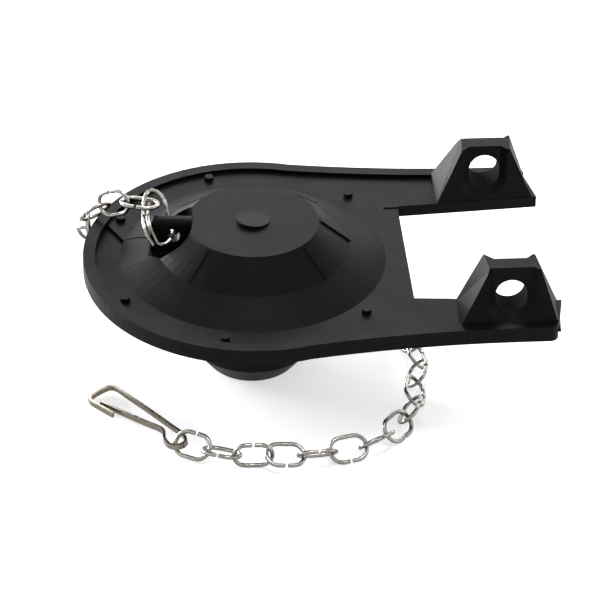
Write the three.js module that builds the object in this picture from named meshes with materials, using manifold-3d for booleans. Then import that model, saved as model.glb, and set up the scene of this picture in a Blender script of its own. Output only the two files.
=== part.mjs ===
// Toilet flapper with its lift chain, in millimetres, +Z up, +X toward the hinge ears.
// The flapper stands on the foot of its bulb and the chain lies on the same ground, z = 0.
// It is drawn about the axis of the disc and moved at the end to the middle of the body's length.
import * as THREE from "three";
import { mergeVertices } from "three/addons/utils/BufferGeometryUtils.js";
import Module from "manifold-3d";

const wasm = await Module();
wasm.setup();

const rad = THREE.MathUtils.degToRad;

// Plate: a round disc that runs out into two arms
const DISC_R = 47.5;
const DECK_Z = 34.3;
const PLATE_T = 3.5;
const RIM_H = 1.1;
const RIM_W = 3.4;
const ARM_HALF = 40.8;
const ARM_SET_X = 70;
const ARM_SWEEP_R = 337;
const ARM_FLARE_X = 13.2;
const ARM_END_OUT_X = 81;
const ARM_END_IN_X = 83.5;
const END_ROUND = 2.4;
const CROTCH_X = 43.1;
const CROTCH_HALF = 23.2;
const FORK_FLARE = 0.075;
const STEP_X = 38.9;
const STEP_DROP = 0.3;

// Cone band, dome and its ribs
const BAND_R = 37.3;
const WALL_R = 27;
const WALL_H = 4.6;
const DOME_R = 18.3;
const DOME_H = 11.85;
const DOME_EDGE = 0.5;
const RIB_COUNT = 8;
const RIB_W = 0.7;
const RIB_PROUD = 0.35;
const ARM_RIB_W = 2.2;
const ARM_RIB_PROUD = 0.7;
const BUTTON_R = 4.65;
const BUTTON_H = 1.1;
const NUB_R = 1.5;
const NUB_H = 1.2;
const NUB_CIRCLE_R = 41.5;

// Bulb below the plate, hollow up into the dome
const BULB_TOP_R = 21.5;
const BULB_LOW_R = 17.6;
const BULB_LOW_Z = 6.7;
const FOOT_R = 12.9;
const FOOT_HOLE_R = 8.5;
const SKIN = 2.5;

// Hinge ears
const EAR_X = 68.2;
const EAR_H = 16;
const EAR_SET = 2;
const EAR_DRAFT = 0.28;
const EAR_FOOT = [14.4, 13];
const EAR_HEAD = [6.2, 7.7];
const EAR_IN_FOOT = [13.6, 14];
const EAR_IN_HEAD = [7, 7];
const EAR_FLARE = 5;
const EAR_HOLE_W = 8.7;
const EAR_HOLE_H = 10.3;
const EAR_HOLE_Z = 8;
const POCKET_DEPTH = 2.2;
const POCKET_WALL = 0.2;

// Chain lug and the hollow round it, turned a little off the centre line
const LUG_TURN = rad(180 - 5.3);
const LUG_U = 28.4;
const LUG_H = 12.3;
const LUG_T = 3.8;
const LUG_HOLE_U = 22.3;
const LUG_HOLE_H = 7.4;
const LUG_HOLE_R = 2.1;
const LUG_ROUND = 1.3;
const CHANNEL_DROP = 0.9;
const FACET_DROP = 0.4;
const HOLLOW_IN_U = 16.9;
const HOLLOW_OUT_U = 28.9;
const HOLLOW_HALF = 9.3;
const HOLLOW_ROUND = 4.5;
const HOLLOW_H = 2.2;

// How far a cutting solid runs past the face it opens
const PAST = 9;

// Chain of open oval links
const WIRE = 1.2;
const LINK_L = 11.75;
const LINK_W = 8;
const LINK_GAP = 0.7;
const SLACK = 0.5;
const PITCH = LINK_L - 2 * WIRE - SLACK;
const LINK_REST_Z = ((LINK_W - WIRE) / 2) * Math.SQRT1_2 + WIRE / 2 + 0.08;
const FIRST_ROLL = rad(12);
const END_TWIST = rad(22);
const RING_WIRE = 1.1;

// Lever clip, a narrow strip bent on edge
const STRIP_T = 0.8;
const STRIP_H = 1.6;

const rubber = new THREE.MeshStandardMaterial({ color: 0x3a393b, roughness: 0.55 });
const nickel = new THREE.MeshStandardMaterial({ color: 0xb9b3a6, roughness: 0.28, metalness: 1 });

const group = new THREE.Group();
group.name = "toilet_flapper";

// A closed solid from a geometry, turned face out if it was built face in
function solidOf(geometry) {
  const source = geometry.index ? geometry.toNonIndexed() : geometry;
  const bare = new THREE.BufferGeometry();
  bare.setAttribute("position", source.getAttribute("position").clone());
  const merged = mergeVertices(bare, 1e-4);
  const at = merged.attributes.position;
  const faces = new Uint32Array(merged.index.array);
  const [a, b, c] = [new THREE.Vector3(), new THREE.Vector3(), new THREE.Vector3()];
  let volume = 0;
  for (let i = 0; i < faces.length; i += 3) {
    a.fromBufferAttribute(at, faces[i]);
    b.fromBufferAttribute(at, faces[i + 1]);
    c.fromBufferAttribute(at, faces[i + 2]);
    volume += a.dot(b.cross(c));
  }
  if (volume < 0) {
    for (let i = 0; i < faces.length; i += 3) [faces[i], faces[i + 1]] = [faces[i + 1], faces[i]];
  }
  return new wasm.Manifold(new wasm.Mesh({ numProp: 3, vertProperties: at.array, triVerts: faces }));
}

function geometryOf(solid) {
  const mesh = solid.getMesh();
  const geometry = new THREE.BufferGeometry();
  geometry.setAttribute("position", new THREE.BufferAttribute(new Float32Array(mesh.vertProperties), 3));
  geometry.setIndex(new THREE.BufferAttribute(new Uint32Array(mesh.triVerts), 1));
  geometry.computeVertexNormals();
  return geometry;
}

function addPiece(name, geometry, material) {
  const mesh = new THREE.Mesh(geometry, material);
  mesh.name = name;
  group.add(mesh);
  return mesh;
}

function prism(points, z0, z1) {
  const shape = new THREE.Shape(points.map(([x, y]) => new THREE.Vector2(x, y)));
  const geometry = new THREE.ExtrudeGeometry(shape, { depth: z1 - z0, bevelEnabled: false });
  return geometry.translate(0, 0, z0);
}

function turned(points, segments) {
  const profile = points.map(([r, z]) => new THREE.Vector2(r, z));
  return new THREE.LatheGeometry(profile, segments).rotateX(Math.PI / 2);
}

function round(r0, r1, z0, z1, segments) {
  const geometry = new THREE.CylinderGeometry(r1, r0, z1 - z0, segments).rotateX(Math.PI / 2);
  return geometry.translate(0, 0, (z0 + z1) / 2);
}

function arc(radius, from, to, steps) {
  return Array.from({ length: steps + 1 }, (_, i) => {
    const a = from + ((to - from) * i) / steps;
    return [radius * Math.cos(a), radius * Math.sin(a)];
  });
}

// Outer edge of an arm: a long sweep off the disc that settles parallel to the centre line
const armEdge = (x) => ARM_HALF + Math.max(0, ARM_SET_X - x) ** 2 / (2 * ARM_SWEEP_R);
const forkEdge = (x) => CROTCH_HALF + FORK_FLARE * (x - CROTCH_X);

function armSweep(from, inset, steps) {
  return Array.from({ length: steps + 1 }, (_, i) => {
    const x = from + ((ARM_SET_X - from) * i) / steps;
    return [x, armEdge(x) - inset];
  });
}

const mirror = (points) => points.map(([x, y]) => [x, -y]).reverse();

function plateSolid() {
  const sweep = armSweep(ARM_FLARE_X, 0, 9);
  const corner = arc(END_ROUND, Math.PI / 2, 0, 4).map(([x, y]) => [
    ARM_END_OUT_X - END_ROUND + x,
    ARM_HALF - END_ROUND + y,
  ]);
  const fork = [
    [ARM_END_IN_X, forkEdge(ARM_END_IN_X)],
    [CROTCH_X, forkEdge(CROTCH_X)],
  ];
  const half = [...sweep, ...corner, ...fork];
  const start = Math.atan2(armEdge(ARM_FLARE_X), ARM_FLARE_X);
  const back = arc(DISC_R, start, 2 * Math.PI - start, 62).slice(1, -1).reverse();
  const outline = [...half, ...mirror(half), ...back];
  const slab = solidOf(prism(outline, DECK_Z - PLATE_T, DECK_Z + RIM_H));

  // The deck inside the rim
  const inner = [...armSweep(ARM_FLARE_X, RIM_W, 9), [ARM_END_IN_X + PAST, ARM_HALF - RIM_W]];
  const deck = solidOf(round(DISC_R - RIM_W, DISC_R - RIM_W, DECK_Z, DECK_Z + PAST, 64)).add(
    solidOf(prism([...inner, ...mirror(inner)], DECK_Z, DECK_Z + PAST)),
  );

  // A slight step down along the crotch of the fork
  const half2 = CROTCH_HALF - 0.4;
  const step = [
    [STEP_X, -half2],
    [CROTCH_X + 2, -half2],
    [CROTCH_X + 2, half2],
    [STEP_X, half2],
  ];
  return slab.subtract(deck).subtract(solidOf(prism(step, DECK_Z - STEP_DROP, DECK_Z + PAST)));
}

function domeSolid() {
  const skinTop = DECK_Z + DOME_H;
  return solidOf(
    turned(
      [
        [0, 0],
        [FOOT_R - 0.6, 0],
        [FOOT_R, 0.6],
        [BULB_LOW_R, BULB_LOW_Z],
        [BULB_TOP_R, DECK_Z - PLATE_T - 1.2],
        [BULB_TOP_R + 1.2, DECK_Z - PLATE_T],
        [BAND_R, DECK_Z - 0.5],
        [BAND_R, DECK_Z],
        [WALL_R, DECK_Z + WALL_H],
        [DOME_R + DOME_EDGE, skinTop - DOME_EDGE],
        [DOME_R, skinTop],
        [0, skinTop],
      ],
      60,
    ),
  );
}

// The air space in the bulb and the dome, open through the foot
function airSpace() {
  return solidOf(
    turned(
      [
        [0, -1],
        [FOOT_HOLE_R, -1],
        [FOOT_HOLE_R, SKIN],
        [FOOT_R - SKIN + 0.4, SKIN],
        [BULB_LOW_R - SKIN, BULB_LOW_Z + 0.8],
        [BULB_TOP_R - SKIN - 1.5, DECK_Z - PLATE_T - 1],
        [HOLLOW_IN_U - SKIN + 1.1, DECK_Z],
        [HOLLOW_IN_U - SKIN - 1.3, DECK_Z + DOME_H - SKIN - 1],
        [HOLLOW_IN_U - SKIN - 2, DECK_Z + DOME_H - SKIN],
        [0, DECK_Z + DOME_H - SKIN],
      ],
      48,
    ),
  );
}

// One rib down the steep wall, drawn in the plane of radius and height
function ribSolid(angle, width, proud) {
  const run = WALL_R - DOME_R - DOME_EDGE;
  const rise = DOME_H - DOME_EDGE - WALL_H;
  const slope = Math.hypot(run, rise);
  const [nr, nz] = [(rise / slope) * proud, (run / slope) * proud];
  const [low, high] = [DECK_Z + WALL_H, DECK_Z + DOME_H - DOME_EDGE];
  const points = [
    [WALL_R - 1.5, low - 1],
    [WALL_R + nr, low + nz - 0.2],
    [DOME_R + DOME_EDGE + nr, high + nz - 0.2],
    [DOME_R - 1, high - 0.5],
  ];
  return solidOf(
    prism(points, -width / 2, width / 2)
      .rotateX(Math.PI / 2)
      .rotateZ(angle),
  );
}

// Face positions of an ear at a height above the deck, for the side away from the fork
const earIn = (x, h) => forkEdge(x) + 0.15 + 0.08 * h;
const earOut = (h) => ARM_HALF - EAR_SET - EAR_DRAFT * h;

function earSolid(side) {
  const block = new THREE.BoxGeometry(2, 2, 2);
  const at = block.attributes.position;
  for (let i = 0; i < at.count; i++) {
    const h = at.getZ(i) > 0 ? EAR_H : -1.5;
    const outer = at.getY(i) > 0;
    const right = at.getX(i) > 0;
    const up = h / EAR_H;
    const foot = (outer ? EAR_FOOT : EAR_IN_FOOT)[right ? 1 : 0];
    const head = (outer ? EAR_HEAD : EAR_IN_HEAD)[right ? 1 : 0];
    const x = EAR_X + (right ? 1 : -1) * (foot + (head - foot) * up);
    at.setXYZ(i, x, side * (outer ? earOut(h) : earIn(x, h)), DECK_Z + h);
  }
  return solidOf(block).subtract(earPocket(side, false)).subtract(earPocket(side, true));
}

// The flared pocket in one face of an ear: a U, open at the top, that widens toward the face
function earPocket(side, outer) {
  const floorR = EAR_HOLE_W / 2 + POCKET_WALL;
  const lowZ = EAR_HOLE_Z - (EAR_HOLE_H - EAR_HOLE_W) / 2;
  const outline = [...arc(floorR, Math.PI, 2 * Math.PI, 12), [floorR, EAR_H], [-floorR, EAR_H]];
  const geometry = prism(outline, 0, 1);
  const at = geometry.attributes.position;
  for (let i = 0; i < at.count; i++) {
    const out = at.getZ(i) * EAR_FLARE;
    const grow = (floorR + out) / floorR;
    const x = EAR_X + at.getX(i) * grow;
    const h = lowZ + (at.getY(i) < 0 ? at.getY(i) * grow : at.getY(i));
    const floor = outer ? earOut(h) - POCKET_DEPTH - 0.3 : earIn(EAR_X, h) + POCKET_DEPTH;
    at.setXYZ(i, x, side * (outer ? floor + out : floor - out), DECK_Z + h);
  }
  return solidOf(geometry);
}

function earBore() {
  const r = EAR_HOLE_W / 2;
  const half = (EAR_HOLE_H - EAR_HOLE_W) / 2;
  const outline = [
    ...arc(r, 0, Math.PI, 12).map(([x, y]) => [x, y + half]),
    ...arc(r, Math.PI, 2 * Math.PI, 12).map(([x, y]) => [x, y - half]),
  ];
  return solidOf(
    prism(outline, -2 * ARM_HALF, 2 * ARM_HALF)
      .rotateX(Math.PI / 2)
      .translate(EAR_X, 0, DECK_Z + EAR_HOLE_Z),
  );
}

// The recess from the rim to the lug: a shallow wedge in the plate, then a flat facet up the band.
// Plan points run out along the lug and to its left.
function channelSolid() {
  const wedge = [
    [36.7, -6.6],
    [45, -19.5],
    [45, 7.1],
    [42, 7.2],
    [38.9, 7.8],
    [37, 7.4],
  ];
  const facet = [
    [HOLLOW_OUT_U - 0.5, -2.6],
    [29.1, -3],
    [32.6, -5.5],
    [36.7, -6.6],
    [BAND_R, -6.7],
    [BAND_R, 7],
    [HOLLOW_OUT_U - 0.5, HOLLOW_HALF],
  ];
  const bandH = (u) => (WALL_H * (BAND_R - u)) / (BAND_R - WALL_R);
  const above = [WALL_R - 1, BAND_R + 1].map((u) => [u, bandH(u) - FACET_DROP]);
  const slope = prism([...above, [BAND_R + 1, PAST], [WALL_R - 1, PAST]], -2 * PAST, 2 * PAST);
  const cut = solidOf(prism(facet, DECK_Z - 1, DECK_Z + PAST)).intersect(
    solidOf(slope.rotateX(Math.PI / 2).translate(0, 0, DECK_Z)),
  );
  return solidOf(prism(wedge, DECK_Z - CHANNEL_DROP, DECK_Z + PAST))
    .add(cut)
    .rotate([0, 0, THREE.MathUtils.radToDeg(LUG_TURN)])
    .intersect(solidOf(round(DISC_R - RIM_W, DISC_R - RIM_W, DECK_Z - 2, DECK_Z + 2 * PAST, 64)));
}

// The hollow round the lug: square to it, rounded toward the dome and cut off slantwise outside
function hollowSolid() {
  const corner = arc(HOLLOW_ROUND, Math.PI / 2, Math.PI, 5).map(([x, y]) => [
    HOLLOW_IN_U + HOLLOW_ROUND + x,
    HOLLOW_HALF - HOLLOW_ROUND + y,
  ]);
  const half = [[HOLLOW_OUT_U, HOLLOW_HALF - 3.2], [HOLLOW_OUT_U - 3.6, HOLLOW_HALF], ...corner];
  return solidOf(prism([...half, ...mirror(half)], DECK_Z + HOLLOW_H, DECK_Z + 2 * PAST).rotateZ(LUG_TURN));
}

function lugSolid() {
  const corner = 1.6;
  const crown = arc(corner, 0, Math.PI / 2, 4).map(([x, y]) => [LUG_U - corner + x, LUG_H - corner + y]);
  const root = HOLLOW_IN_U - 1;
  const outline = [[root, -1.6], [LUG_U, -1.6], ...crown, [root + 1.3, LUG_H], [root, DOME_H - 0.4]];
  const blade = solidOf(prism(outline, -LUG_T / 2, LUG_T / 2).rotateX(Math.PI / 2));
  const edge = arc(LUG_ROUND, 0, Math.PI / 2, 3).map(([y, z]) => [
    LUG_T / 2 - LUG_ROUND + y,
    LUG_H - LUG_ROUND + z,
  ]);
  const left = edge.map(([y, z]) => [-y, z]).reverse();
  const section = [[LUG_T / 2, -3], ...edge, ...left, [-LUG_T / 2, -3]];
  const along = prism(section, 0, 2 * LUG_U)
    .rotateX(Math.PI / 2)
    .rotateZ(Math.PI / 2);
  const hole = solidOf(
    round(LUG_HOLE_R, LUG_HOLE_R, -PAST, PAST, 20)
      .rotateX(Math.PI / 2)
      .translate(LUG_HOLE_U, 0, LUG_HOLE_H),
  );
  return blade
    .intersect(solidOf(along))
    .subtract(hole)
    .translate([0, 0, DECK_Z])
    .rotate([0, 0, THREE.MathUtils.radToDeg(LUG_TURN)]);
}

function bodySolid() {
  let body = plateSolid().add(domeSolid());
  for (let i = 0; i < RIB_COUNT; i++) {
    if (i === RIB_COUNT / 2) continue;
    const angle = (2 * Math.PI * i) / RIB_COUNT;
    const [width, proud] = i === 0 ? [ARM_RIB_W, ARM_RIB_PROUD] : [RIB_W, RIB_PROUD];
    body = body.add(ribSolid(angle, width, proud));
  }
  for (const angle of [45, 104, 151, -151, -104, -45]) {
    const nub = round(NUB_R, NUB_R - 0.3, DECK_Z - 0.5, DECK_Z + NUB_H, 12);
    nub.translate(NUB_CIRCLE_R * Math.cos(rad(angle)), NUB_CIRCLE_R * Math.sin(rad(angle)), 0);
    body = body.add(solidOf(nub));
  }
  // The gate button stands proud at the side toward the lug and runs out flush at the other
  const button = round(BUTTON_R, BUTTON_R, -1.6, BUTTON_H / 2, 28);
  button.rotateY(Math.asin(BUTTON_H / (2 * BUTTON_R))).rotateZ(rad(50));
  body = body.add(solidOf(button.translate(0, 0, DECK_Z + DOME_H)));
  body = body.subtract(channelSolid()).subtract(hollowSolid()).add(lugSolid());
  body = body.add(earSolid(1)).add(earSolid(-1));
  return body.subtract(earBore()).subtract(airSpace());
}

addPiece("flapper_body", geometryOf(bodySolid()), rubber);

// A point given as distance out along the lug, sideways toward the back, and height above the deck
function atLug(u, back, h) {
  return new THREE.Vector3(u, -back, DECK_Z + h).applyAxisAngle(new THREE.Vector3(0, 0, 1), LUG_TURN);
}

function wireSection(radius, sides) {
  const points = arc(radius, 0, 2 * Math.PI, sides).slice(0, -1);
  return new THREE.Shape(points.map(([x, y]) => new THREE.Vector2(x, y)));
}

function bent(section, path, steps) {
  return new THREE.ExtrudeGeometry(section, { extrudePath: path, steps, bevelEnabled: false });
}

// Lug ring: one loop through the lug, its wire doubled down the front
const ringPath = new THREE.CatmullRomCurve3([
  atLug(29.2, 5.1, 13.6),
  atLug(29.3, 2.6, 12.5),
  atLug(29.3, -0.6, 12.4),
  atLug(28.6, -3.1, 11.2),
  atLug(27.3, -4.2, 8.8),
  atLug(26.0, -4.9, 6.6),
  atLug(24.3, -4.4, 6.3),
  atLug(22.7, -2.7, 7.0),
  atLug(22.3, -0.1, 7.3),
  atLug(22.7, 2.4, 8.0),
  atLug(23.8, 3.7, 10.8),
  atLug(24.4, 5.3, 12.7),
  atLug(25.5, 7.8, 13.9),
  atLug(27.2, 9.1, 14.9),
  atLug(28.8, 9.3, 15.2),
  atLug(30.1, 8.2, 14.6),
  atLug(30.6, 5.5, 13.6),
  atLug(30.6, 2.7, 12.3),
  atLug(30.4, -0.5, 11.8),
  atLug(29.9, -3.0, 10.6),
  atLug(28.8, -4.8, 8.4),
  atLug(27.5, -5.7, 6.6),
]);
addPiece("lug_ring", bent(wireSection(RING_WIRE / 2, 7), ringPath, 52), nickel);

// One link: an open oval, its two ends butted in the middle of a long side
class LinkPath extends THREE.Curve {
  getPoint(t, target = new THREE.Vector3()) {
    const r = (LINK_W - WIRE) / 2;
    const flat = LINK_L / 2 - WIRE / 2 - r;
    const turn = Math.PI * r;
    const whole = 4 * flat + 2 * turn;
    let s = LINK_GAP / 2 + t * (whole - LINK_GAP);
    if (s <= flat) return target.set(s, r, 0);
    s -= flat;
    if (s <= turn) return target.set(flat + r * Math.sin(s / r), r * Math.cos(s / r), 0);
    s -= turn;
    if (s <= 2 * flat) return target.set(flat - s, -r, 0);
    s -= 2 * flat;
    if (s <= turn) return target.set(-flat - r * Math.sin(s / r), -r * Math.cos(s / r), 0);
    return target.set(-flat + s - turn, r, 0);
  }
}
const linkGeometry = bent(wireSection(WIRE / 2, 6), new LinkPath(), 16);

// Where the chain was laid: off the ring, over the rim, down to the ground and round the bulb
const route = new THREE.CatmullRomCurve3(
  [
    [-27.1, 6.6, DECK_Z + 13.5],
    [-35.2, 10.2, DECK_Z + 13],
    [-41.6, 14.7, DECK_Z + 8.8],
    [-45.7, 19.3, DECK_Z + 1.4],
    [-45.5, 24.8, DECK_Z - 6],
    [-42.8, 30.5, DECK_Z - 14],
    [-37, 36, DECK_Z - 21.5],
    [-30, 39, DECK_Z - 27],
    [-21.5, 39, LINK_REST_Z + 1],
    [-8, 36.5, LINK_REST_Z],
    [10, 29.5, LINK_REST_Z],
    [27, 21.5, LINK_REST_Z],
    [40, 12, LINK_REST_Z],
    [46.6, -2, LINK_REST_Z],
    [45, -19.5, LINK_REST_Z],
    [39.8, -38, LINK_REST_Z],
    [27.5, -48.4, LINK_REST_Z],
    [12, -51.4, LINK_REST_Z],
    [-0.2, -52.3, LINK_W / 2 + 0.1],
    [-8.6, -51.9, LINK_W / 2],
    [-24.4, -42.7, LINK_REST_Z],
  ].map(([x, y, z]) => new THREE.Vector3(x, y, z)),
);

// Contact points a pitch apart along the route
function contacts() {
  const fine = route.getPoints(6000);
  const found = [fine[0]];
  for (const p of fine) if (p.distanceTo(found.at(-1)) >= PITCH) found.push(p);
  return found;
}

// Each link turns a quarter to the one before it. The first lies nearly flat in the ring. On the
// ground the links lean 45 degrees to either side, and the last few untwist a little more.
const touch = contacts();
const count = touch.length - 1;
const axisOf = (i) => touch[i + 1].clone().sub(touch[i]).normalize();
const up = new THREE.Vector3(0, 0, 1);
const firstSide = new THREE.Vector3().crossVectors(axisOf(0), up).normalize();
const sides = [firstSide.applyAxisAngle(axisOf(0), FIRST_ROLL)];
for (let i = 1; i < count; i++) {
  const q = new THREE.Quaternion().setFromUnitVectors(axisOf(i - 1), axisOf(i));
  sides.push(sides[i - 1].clone().applyQuaternion(q));
}
const level = new THREE.Vector3().crossVectors(axisOf(count - 1), up).normalize();
const lastSide = sides[count - 1];
const across = new THREE.Vector3().crossVectors(lastSide, level);
const lean = Math.atan2(across.dot(axisOf(count - 1)), lastSide.dot(level));
for (let i = 0; i < count; i++) {
  const axis = axisOf(i);
  const settle = (lean - Math.PI / 4) * THREE.MathUtils.smoothstep(i, 1, 4.5);
  const untwist = END_TWIST * THREE.MathUtils.clamp(i - (count - 5), 0, 4);
  const twist = settle + untwist + (i % 2 ? Math.PI / 2 : 0);
  const side = sides[i].clone().applyAxisAngle(axis, twist);
  const normal = new THREE.Vector3().crossVectors(axis, side);
  const link = addPiece(`chain_link_${String(i + 1).padStart(2, "0")}`, linkGeometry, nickel);
  link.matrix.makeBasis(axis, side, normal);
  link.matrix.setPosition(touch[i].clone().add(touch[i + 1]).multiplyScalar(0.5));
  link.matrix.decompose(link.position, link.quaternion, link.scale);
}

// Lever clip: a hook at the far end, two arms and an eye round the last link. The hook lies on
// the ground and the eye is up at the height of the link.
const CLIP_FAR_X = -46.8;
const CLIP_EYE_X = -20.9;
const CLIP_EYE_Z = LINK_REST_Z + 0.2;
const clipZ = (x) => THREE.MathUtils.mapLinear(x, CLIP_FAR_X, CLIP_EYE_X, STRIP_H / 2, CLIP_EYE_Z);
const clipPath = new THREE.CatmullRomCurve3(
  [
    [-43.6, -22.1],
    [-38.3, -27.2],
    [-32, -33.2],
    [-26.9, -38.2],
    [-26.7, -42],
    [-25.3, -45.3],
    [-22.9, -46],
    [-20.9, -44.5],
    [-21.7, -40.8],
    [-24.2, -37.1],
    [-30, -28.7],
    [-36, -20.3],
    [-39, -16.2],
    [-40.6, -15.1],
    [-42.4, -15.8],
    [-45.8, -18.2],
    [-46.8, -19.9],
    [-46.1, -21.4],
    [-43.2, -24.8],
    [-40.4, -28.1],
  ].map(([x, y]) => new THREE.Vector3(x, y, clipZ(x))),
  false,
  "centripetal",
);
const strip = new THREE.Shape(
  [
    [-STRIP_H / 2, -STRIP_T / 2],
    [STRIP_H / 2, -STRIP_T / 2],
    [STRIP_H / 2, STRIP_T / 2],
    [-STRIP_H / 2, STRIP_T / 2],
  ].map(([x, y]) => new THREE.Vector2(x, y)),
);
addPiece("lever_clip", bent(strip, clipPath, 60), nickel);

for (const mesh of group.children) mesh.position.x -= (ARM_END_IN_X - DISC_R) / 2;

export default group;
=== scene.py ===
"""Toilet flapper with its lift chain, dressed for the studio. Metres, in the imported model's frame."""

from math import copysign, cos, pi, radians, sin

import bmesh
import bpy
import numpy as np
from mathutils import Matrix, Vector


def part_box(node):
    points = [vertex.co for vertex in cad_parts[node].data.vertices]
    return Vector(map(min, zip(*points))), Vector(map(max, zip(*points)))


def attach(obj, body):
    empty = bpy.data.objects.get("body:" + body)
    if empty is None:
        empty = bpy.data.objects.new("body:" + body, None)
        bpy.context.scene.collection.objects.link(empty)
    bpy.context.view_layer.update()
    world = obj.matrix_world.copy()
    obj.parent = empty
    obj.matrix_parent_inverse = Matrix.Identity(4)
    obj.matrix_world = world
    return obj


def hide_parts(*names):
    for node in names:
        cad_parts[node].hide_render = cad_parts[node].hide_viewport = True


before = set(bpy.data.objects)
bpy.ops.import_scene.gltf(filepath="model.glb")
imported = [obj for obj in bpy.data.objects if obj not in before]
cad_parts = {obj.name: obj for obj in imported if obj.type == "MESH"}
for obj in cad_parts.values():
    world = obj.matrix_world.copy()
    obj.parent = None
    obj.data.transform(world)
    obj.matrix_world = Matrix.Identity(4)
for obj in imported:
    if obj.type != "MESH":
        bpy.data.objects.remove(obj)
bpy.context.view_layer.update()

MM = 0.001

# Wire sizes, as in the part
LINK_WIRE = 1.2 * MM
LINK_L = 11.75 * MM
LINK_W = 8 * MM
LINK_GAP = 0.7 * MM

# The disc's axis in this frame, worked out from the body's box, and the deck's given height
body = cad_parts["flapper_body"]
body_low, body_high = (Vector(c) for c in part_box("flapper_body"))
DISC_R = (body_high.y - body_low.y) / 2
DISC_X = body_low.x + DISC_R
DECK_Z = 34.3 * MM

# Ears and their bores, as in the part
EAR_X = 68.2 * MM
EAR_H = 16 * MM
EAR_HOLE_Z = 8 * MM
BORE_HALF_W = 4.35 * MM
BORE_TOP = 4.2 * MM
BORE_REACH = 5.3 * MM

# The ears' outer pockets and the webs that stand over the bores
POCKET_Y = 36 * MM
POCKET_LEAN = 0.28
WEB_Y = 34.06 * MM
WEB_LEAN = 0.095
WEB_SINK = 1 * MM
WEB_PROUD = 0.012 * MM
WEB_LAP = 0.2 * MM
WEB_FOOT_SHARE = 0.96

# Rounded edges and smooth faces
EDGE_ROUND = 0.3 * MM
CLIP_EDGE_ROUND = 0.18 * MM
CUT_END_EASE = 0.22
WIRE_SIDES = 14
BODY_SMOOTH = radians(28)
CLIP_SMOOTH = radians(40)
RING_SMOOTH = radians(60)

# Light on the ground and from around
FLOOR_HALF = 3.0
FLOOR_TONE = 0.86
FLOOR_LIFT = 0.56
SURROUND_LIGHT = 0.35
LAMP_TINT = (0.96, 0.95, 1.0)
LAMP_AIM = (0, 0, 0.03)


# The camera
def photo_camera():
    """The photograph's view: 34 degrees above the horizon, a little round to the right, long lens."""
    elevation, azimuth, roll = radians(33.82), radians(3.99), radians(0.51)
    distance = 0.959
    look = Vector((sin(azimuth) * cos(elevation), cos(azimuth) * cos(elevation), -sin(elevation)))
    right = Vector((cos(azimuth), -sin(azimuth), 0))
    up = right.cross(look)
    turned_right = right * cos(roll) + up * sin(roll)
    turned_up = up * cos(roll) - right * sin(roll)
    data = bpy.data.cameras.new("photo_camera")
    data.sensor_width = 36
    data.lens = 205.5
    data.shift_x, data.shift_y = 0.0790, -0.0735
    camera = bpy.data.objects.new("photo_camera", data)
    axes = Matrix((turned_right, turned_up, -look)).transposed().to_4x4()
    camera.matrix_world = Matrix.Translation(Vector((DISC_X, 0, DECK_Z)) - look * distance) @ axes
    bpy.context.collection.objects.link(camera)
    bpy.context.scene.camera = camera


photo_camera()


# Materials
class Nodes:
    """Short calls for building one node tree."""

    def __init__(self, name):
        self.material = bpy.data.materials.new(name)
        self.material.use_nodes = True
        self.tree = self.material.node_tree
        self.shader = self.tree.nodes["Principled BSDF"]

    def add(self, kind, **values):
        node = self.tree.nodes.new(kind)
        for key, value in values.items():
            setattr(node, key, value)
        return node

    def link(self, source, target):
        self.tree.links.new(source, target)

    def position(self):
        return self.add("ShaderNodeTexCoord").outputs["Object"]

    def noise(self, scale, detail=3.0, roughness=0.5):
        node = self.add("ShaderNodeTexNoise")
        node.inputs["Scale"].default_value = scale
        node.inputs["Detail"].default_value = detail
        node.inputs["Roughness"].default_value = roughness
        self.link(self.position(), node.inputs["Vector"])
        return node.outputs["Fac"]

    def ramp(self, factor, low, high, dark, light):
        node = self.add("ShaderNodeValToRGB")
        node.color_ramp.elements[0].position, node.color_ramp.elements[1].position = low, high
        node.color_ramp.elements[0].color = (*dark, 1)
        node.color_ramp.elements[1].color = (*light, 1)
        self.link(factor, node.inputs["Fac"])
        return node.outputs["Color"]

    def range(self, factor, low, high, to_low, to_high):
        node = self.add("ShaderNodeMapRange")
        for socket, value in zip(list(node.inputs)[1:5], (low, high, to_low, to_high)):
            socket.default_value = value
        self.link(factor, node.inputs["Value"])
        return node.outputs["Result"]

    def math(self, operation, *values):
        node = self.add("ShaderNodeMath", operation=operation)
        for socket, value in zip(node.inputs, values):
            if isinstance(value, (int, float)):
                socket.default_value = value
            else:
                self.link(value, socket)
        return node.outputs[0]

    def split(self, vector):
        node = self.add("ShaderNodeSeparateXYZ")
        self.link(vector, node.inputs[0])
        return node.outputs

    def in_ear_bores(self):
        """1 on the walls of the ears' bores, where the mould's pins left them matt, else 0."""
        x, _, z = self.split(self.position())
        away_x = self.math("SUBTRACT", x, DISC_X + EAR_X)
        away_z = self.math("SUBTRACT", z, DECK_Z + EAR_HOLE_Z)
        away = self.math("ADD", self.math("POWER", away_x, 2), self.math("POWER", away_z, 2))
        near = self.math("LESS_THAN", away, BORE_REACH**2)
        normal = self.split(self.add("ShaderNodeTexCoord").outputs["Normal"])
        return self.math("MULTIPLY", near, self.math("LESS_THAN", self.math("ABSOLUTE", normal[1]), 0.3))

    def bump(self, height, strength, distance, under=None):
        node = self.add("ShaderNodeBump")
        node.inputs["Strength"].default_value = strength
        node.inputs["Distance"].default_value = distance
        self.link(height, node.inputs["Height"])
        if under:
            self.link(under, node.inputs["Normal"])
        return node.outputs["Normal"]


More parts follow.
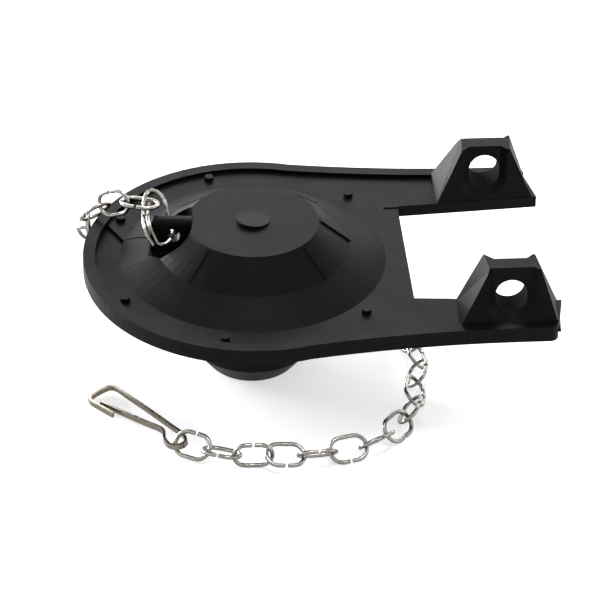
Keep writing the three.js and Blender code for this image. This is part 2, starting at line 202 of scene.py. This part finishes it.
def rubber_material():
    """Black moulded rubber: a soft satin with a fine grain and faintly uneven polish."""
    n = Nodes("moulded_rubber")
    dark, light = (0.0026, 0.0025, 0.0029), (0.0042, 0.0041, 0.0046)
    n.link(n.ramp(n.noise(55, 4, 0.6), 0.35, 0.7, dark, light), n.shader.inputs["Base Color"])
    polish = n.range(n.noise(120, 4, 0.65), 0.3, 0.7, 0.44, 0.52)
    matt_bores = n.math("MULTIPLY", n.in_ear_bores(), 0.95)
    n.link(n.math("MAXIMUM", polish, matt_bores), n.shader.inputs["Roughness"])
    grain = n.bump(n.noise(2600, 2, 0.5), 0.2, 0.00003)
    n.link(n.bump(n.noise(70, 2, 0.4), 0.2, 0.0002, grain), n.shader.inputs["Normal"])
    n.shader.inputs["Specular IOR Level"].default_value = 0.06
    return n.material


def nickel_material(name, dark, light, underside_shade):
    """Nickel-plated wire: drawn streaks, dull patches, and painted shade on the sides that face down."""
    n = Nodes(name)
    patches = n.ramp(n.noise(420, 4, 0.65), 0.36, 0.66, dark, light)
    # Painted shade: the base colour is mixed towards a dark tone where the normal points down, so the
    # wire's undersides read as shaded.
    upward = n.split(n.add("ShaderNodeTexCoord").outputs["Normal"])[2]
    down = n.range(upward, -0.5, 0.85, 1.0, 0.0)
    mix = n.add("ShaderNodeMix", data_type="RGBA")
    n.link(n.math("MULTIPLY", down, 0.88), mix.inputs["Factor"])
    n.link(patches, mix.inputs["A"])
    mix.inputs["B"].default_value = (*underside_shade, 1)
    n.link(mix.outputs["Result"], n.shader.inputs["Base Color"])
    n.link(n.range(n.noise(700, 3, 0.6), 0.3, 0.7, 0.18, 0.36), n.shader.inputs["Roughness"])
    n.link(n.bump(n.noise(1500, 2, 0.5), 0.1, 0.00004), n.shader.inputs["Normal"])
    n.shader.inputs["Metallic"].default_value = 1
    return n.material


rubber = rubber_material()
# The last colour given to each is the painted shade on faces that point down.
nickel = nickel_material("nickel_wire", (0.29, 0.276, 0.248), (0.45, 0.43, 0.39), (0.05, 0.047, 0.042))
clip_steel = nickel_material("clip_strip", (0.26, 0.234, 0.18), (0.35, 0.32, 0.25), (0.06, 0.053, 0.04))


# The moulded body
def smooth_by_angle(obj, angle):
    """A modifier that shades faces smooth except across edges sharper than the angle."""
    tree = bpy.data.node_groups.new(f"{obj.name}_smooth", "GeometryNodeTree")
    tree.interface.new_socket("Geometry", in_out="INPUT", socket_type="NodeSocketGeometry")
    tree.interface.new_socket("Geometry", in_out="OUTPUT", socket_type="NodeSocketGeometry")
    source, sink = tree.nodes.new("NodeGroupInput"), tree.nodes.new("NodeGroupOutput")
    edge = tree.nodes.new("GeometryNodeInputMeshEdgeAngle")
    sharp = tree.nodes.new("FunctionNodeCompare")
    sharp.data_type, sharp.operation = "FLOAT", "GREATER_THAN"
    sharp.inputs["B"].default_value = angle
    faces = tree.nodes.new("GeometryNodeSetShadeSmooth")
    edges = tree.nodes.new("GeometryNodeStoreNamedAttribute")
    edges.data_type, edges.domain = "BOOLEAN", "EDGE"
    edges.inputs["Name"].default_value = "sharp_edge"
    tree.links.new(source.outputs[0], faces.inputs["Geometry"])
    tree.links.new(faces.outputs[0], edges.inputs["Geometry"])
    tree.links.new(edge.outputs["Unsigned Angle"], sharp.inputs["A"])
    tree.links.new(sharp.outputs["Result"], edges.inputs["Value"])
    tree.links.new(edges.outputs[0], sink.inputs[0])
    modifier = obj.modifiers.new("smooth_by_angle", "NODES")
    modifier.node_group = tree


def paint(obj, material):
    obj.data.materials.clear()
    obj.data.materials.append(material)


def new_object(name, mesh):
    data = bpy.data.meshes.new(name)
    mesh.to_mesh(data)
    mesh.free()
    obj = bpy.data.objects.new(name, data)
    bpy.context.collection.objects.link(obj)
    return obj


flat = body.modifiers.new("flat_faces", "DECIMATE")
flat.decimate_type = "DISSOLVE"
flat.angle_limit = radians(0.6)
edge_round = body.modifiers.new("edge_round", "BEVEL")
edge_round.width = EDGE_ROUND
edge_round.segments = 3
edge_round.limit_method = "ANGLE"
edge_round.angle_limit = radians(32)
edge_round.use_clamp_overlap = True
smooth_by_angle(body, BODY_SMOOTH)
paint(body, rubber)


def web_face(h):
    """How far out the web's face stands at a height above the deck."""
    return WEB_Y - WEB_LEAN * (h - EAR_HOLE_Z)


def pocket_floor(h):
    """How far out the pocket's own floor is at a height above the deck."""
    return POCKET_Y - POCKET_LEAN * h


def web_outline(steps=14):
    """Point pairs in x and height: one on the bore's arch and one out from it on the web's rim."""
    top = EAR_H + WEB_PROUD
    foot_x = BORE_HALF_W + WEB_LAP + max(0, web_face(EAR_HOLE_Z) - pocket_floor(EAR_HOLE_Z))
    top_x = BORE_HALF_W + WEB_LAP + max(0, web_face(top) - pocket_floor(top))
    pairs = []
    for k in range(steps + 1):
        turn = pi * k / steps
        along = cos(turn)
        rim = (top_x * along, top)
        if abs(along) > WEB_FOOT_SHARE:
            rim = (copysign(foot_x, along), EAR_HOLE_Z)
        pairs.append(((BORE_HALF_W * along, EAR_HOLE_Z + BORE_TOP * sin(turn)), rim))
    return pairs


def ear_web(side):
    """The web behind an ear's outer pocket, upright above the middle of the bore and arched over it."""
    mesh = bmesh.new()

    def place(x, h, y):
        return mesh.verts.new((DISC_X + EAR_X + x, side * y, DECK_Z + h))

    outline = web_outline()
    front = [tuple(place(x, h, web_face(h)) for x, h in pair) for pair in outline]
    back = [tuple(place(x, h, pocket_floor(h) - WEB_SINK) for x, h in pair) for pair in outline]
    for (a, b), (c, d), (e, f), (g, k) in zip(front, front[1:], back, back[1:]):
        mesh.faces.new((a, b, d, c))
        mesh.faces.new((e, g, k, f))
        mesh.faces.new((a, c, g, e))
        mesh.faces.new((b, f, k, d))
    for (a, b), (e, f) in ((front[0], back[0]), (front[-1], back[-1])):
        mesh.faces.new((a, e, f, b))
    bmesh.ops.recalc_face_normals(mesh, faces=mesh.faces)
    obj = new_object("ear_web_back" if side > 0 else "ear_web_front", mesh)
    smooth_by_angle(obj, BODY_SMOOTH)
    paint(obj, rubber)
    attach(obj, "root")


ear_web(1)
ear_web(-1)


# Wire pieces
def tube(name, points, radius, sides):
    """A round wire along the points, with its cut ends slightly rounded."""
    points = [Vector(p) for p in points]
    mesh = bmesh.new()
    tangents = [(points[min(i + 1, len(points) - 1)] - points[max(i - 1, 0)]).normalized()
                for i in range(len(points))]
    normal = tangents[0].orthogonal().normalized()
    rings = []

    def ring(at, tangent, normal, r):
        other = tangent.cross(normal)
        return [mesh.verts.new(at + (normal * cos(a) + other * sin(a)) * r)
                for a in (2 * pi * k / sides for k in range(sides))]

    ease = CUT_END_EASE * radius
    for i, (at, tangent) in enumerate(zip(points, tangents)):
        if i:
            normal = (tangents[i - 1].rotation_difference(tangent) @ normal).normalized()
        if i == 0:
            rings.append(ring(at, tangent, normal, radius - ease))
            rings.append(ring(at + tangent * ease, tangent, normal, radius))
        elif i == len(points) - 1:
            rings.append(ring(at - tangent * ease, tangent, normal, radius))
            rings.append(ring(at, tangent, normal, radius - ease))
        else:
            rings.append(ring(at, tangent, normal, radius))
    for low, high in zip(rings, rings[1:]):
        for k in range(sides):
            mesh.faces.new((low[k], low[(k + 1) % sides], high[(k + 1) % sides], high[k]))
    mesh.faces.new(reversed(rings[0]))
    mesh.faces.new(rings[-1])
    for face in mesh.faces:
        face.smooth = len(face.verts) == 4
    return new_object(name, mesh)


def wire_piece(obj, node):
    paint(obj, nickel)
    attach(obj, "root")
    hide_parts(node)
    return obj


def link_path(steps=56):
    """The open oval of one link, from one butted end round to the other, in its own plane."""
    r = (LINK_W - LINK_WIRE) / 2
    flat = LINK_L / 2 - LINK_WIRE / 2 - r
    whole = 4 * flat + 2 * pi * r
    for i in range(steps + 1):
        s = LINK_GAP / 2 + (whole - LINK_GAP) * i / steps
        if s <= flat:
            yield (s, r)
        elif s <= flat + pi * r:
            a = (s - flat) / r
            yield (flat + r * sin(a), r * cos(a))
        elif s <= 3 * flat + pi * r:
            yield (2 * flat + pi * r - s, -r)
        elif s <= 3 * flat + 2 * pi * r:
            a = (s - 3 * flat - pi * r) / r
            yield (-flat - r * sin(a), -r * cos(a))
        else:
            yield (s - whole, r)


def node_points(name):
    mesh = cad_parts[name].data
    flat_list = np.empty(len(mesh.vertices) * 3)
    mesh.vertices.foreach_get("co", flat_list)
    return flat_list.reshape(-1, 3)


def link_place(name):
    """A link's middle, long axis and the side its opening is on, from its solid."""
    points = node_points(name)
    mean = points.mean(axis=0)
    _, axes = np.linalg.eigh(np.cov((points - mean).T))
    long, side = axes[:, 2], axes[:, 1]
    spans = [(points @ a) for a in (long, side, axes[:, 0])]
    middle = sum(a * (s.max() + s.min()) / 2 for a, s in zip((long, side, axes[:, 0]), spans))
    if (mean - middle) @ side > 0:
        side = -side
    return Vector(middle), Vector(long), Vector(side)


for name in sorted(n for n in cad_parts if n.startswith("chain_link")):
    middle, long, side = link_place(name)
    path = [middle + long * x + side * y for x, y in link_path()]
    wire_piece(tube(f"{name}_wire", path, LINK_WIRE / 2, WIRE_SIDES), name)

paint(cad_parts["lug_ring"], nickel)
smooth_by_angle(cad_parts["lug_ring"], RING_SMOOTH)
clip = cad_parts["lever_clip"]
clip_edge = clip.modifiers.new("rolled_edge", "BEVEL")
clip_edge.width = CLIP_EDGE_ROUND
clip_edge.segments = 2
clip_edge.limit_method = "ANGLE"
clip_edge.angle_limit = radians(50)
smooth_by_angle(clip, CLIP_SMOOTH)
paint(clip, clip_steel)


# The studio
def seen_directly(tree):
    """1 for camera, glossy and transmission rays, else 0."""
    path = tree.nodes.new("ShaderNodeLightPath")
    total = path.outputs["Is Camera Ray"]
    for kind in ("Is Glossy Ray", "Is Transmission Ray"):
        either = tree.nodes.new("ShaderNodeMath")
        either.operation = "MAXIMUM"
        tree.links.new(total, either.inputs[0])
        tree.links.new(path.outputs[kind], either.inputs[1])
        total = either.outputs[0]
    return total


def studio_world():
    world = bpy.data.worlds.new("studio")
    world.use_nodes = True
    bpy.context.scene.world = world
    tree = world.node_tree
    strength = tree.nodes.new("ShaderNodeMapRange")
    strength.inputs["To Min"].default_value = SURROUND_LIGHT
    strength.inputs["To Max"].default_value = 1.0
    tree.links.new(seen_directly(tree), strength.inputs["Value"])
    background = tree.nodes["Background"]
    background.inputs["Color"].default_value = (1, 1, 1, 1)
    tree.links.new(strength.outputs["Result"], background.inputs["Strength"])


def studio_floor():
    data = bpy.data.meshes.new("floor")
    half = FLOOR_HALF
    corners = [(-half, -half, 0), (half, -half, 0), (half, half, 0), (-half, half, 0)]
    data.from_pydata(corners, [], [(0, 1, 2, 3)])
    floor = bpy.data.objects.new("floor", data)
    bpy.context.collection.objects.link(floor)
    material = bpy.data.materials.new("pale_floor")
    material.use_nodes = True
    tree = material.node_tree
    shader = tree.nodes["Principled BSDF"]
    shader.inputs["Base Color"].default_value = (FLOOR_TONE, FLOOR_TONE, FLOOR_TONE, 1)
    shader.inputs["Roughness"].default_value = 0.9
    shader.inputs["Specular IOR Level"].default_value = 0.0
    shader.inputs["Emission Color"].default_value = (1, 1, 1, 1)
    lift = tree.nodes.new("ShaderNodeMath")
    lift.operation = "MULTIPLY"
    lift.inputs[1].default_value = FLOOR_LIFT
    tree.links.new(seen_directly(tree), lift.inputs[0])
    tree.links.new(lift.outputs[0], shader.inputs["Emission Strength"])
    data.materials.append(material)


def soft_box(name, place, size, power):
    data = bpy.data.lights.new(name, "AREA")
    data.shape = "RECTANGLE"
    data.size, data.size_y = size
    data.energy = power
    data.color = LAMP_TINT
    light = bpy.data.objects.new(name, data)
    light.location = place
    aim = Vector(LAMP_AIM) - Vector(place)
    light.rotation_euler = aim.to_track_quat("-Z", "Y").to_euler()
    bpy.context.collection.objects.link(light)


studio_world()
studio_floor()
soft_box("left_box", (-0.67, 0.53, 0.1), (0.7, 0.18), 26.0)
soft_box("back_box", (0.02, 0.85, 0.5), (0.9, 0.5), 7.0)
soft_box("right_box", (0.6, 0.6, 0.2), (0.5, 0.3), 1.4)
soft_box("left_side", (-0.8, -0.28, 0.26), (0.4, 0.3), 0.5)
soft_box("right_side", (0.85, -0.28, 0.26), (0.4, 0.3), 1.2)
soft_box("top_box", (0.02, -0.06, 0.9), (0.3, 0.25), 3.2)

bpy.context.scene.view_settings.view_transform = "Standard"
